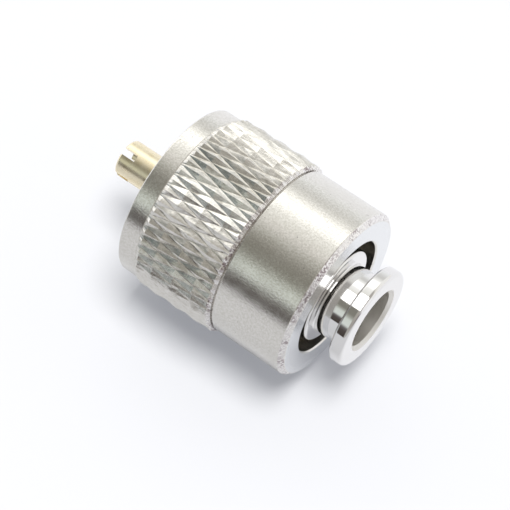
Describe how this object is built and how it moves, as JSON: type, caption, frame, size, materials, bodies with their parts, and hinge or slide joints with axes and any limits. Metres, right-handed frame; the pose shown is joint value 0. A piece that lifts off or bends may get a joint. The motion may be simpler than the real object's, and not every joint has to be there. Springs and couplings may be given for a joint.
{
  "type": "uhf connector",
  "caption": "Coaxial cable plug with a knurled, threaded coupling nut that turns and slides on a turned metal body, round a hollow slotted centre pin.",
  "frame": {"origin": "centre of the flat end face of the tail, where the cable enters", "axes": "+Z along the plug's axis from the tail to the tip of the centre pin"},
  "size_m": [0.0194, 0.0194, 0.0304],
  "materials": {
    "satin_nickel": "satin nickel plating on turned brass",
    "polished_nickel": "polished nickel plating on turned brass",
    "gold_plate": "gold plating on turned brass",
    "spring_bronze": "plain spring bronze",
    "white_plastic": "smooth white fluoroplastic"
  },
  "bodies": {
    "plug_body": {"plug_body": "polished_nickel", "insulator": "white_plastic", "centre_pin": "gold_plate"},
    "retaining_ring": {"retaining_ring": "spring_bronze"},
    "coupling_nut": {"coupling_nut": "satin_nickel"}
  },
  "joints": [
    {"name": "nut_slide", "type": "slide", "parent": "plug_body", "child": "retaining_ring", "axis": [0, 0, 1], "range_m": [0, 0.00495]},
    {"name": "nut_spin", "type": "hinge", "parent": "retaining_ring", "child": "coupling_nut", "pos_m": [0, 0, 0.0095], "axis": [0, 0, 1], "continuous": true}
  ]
}
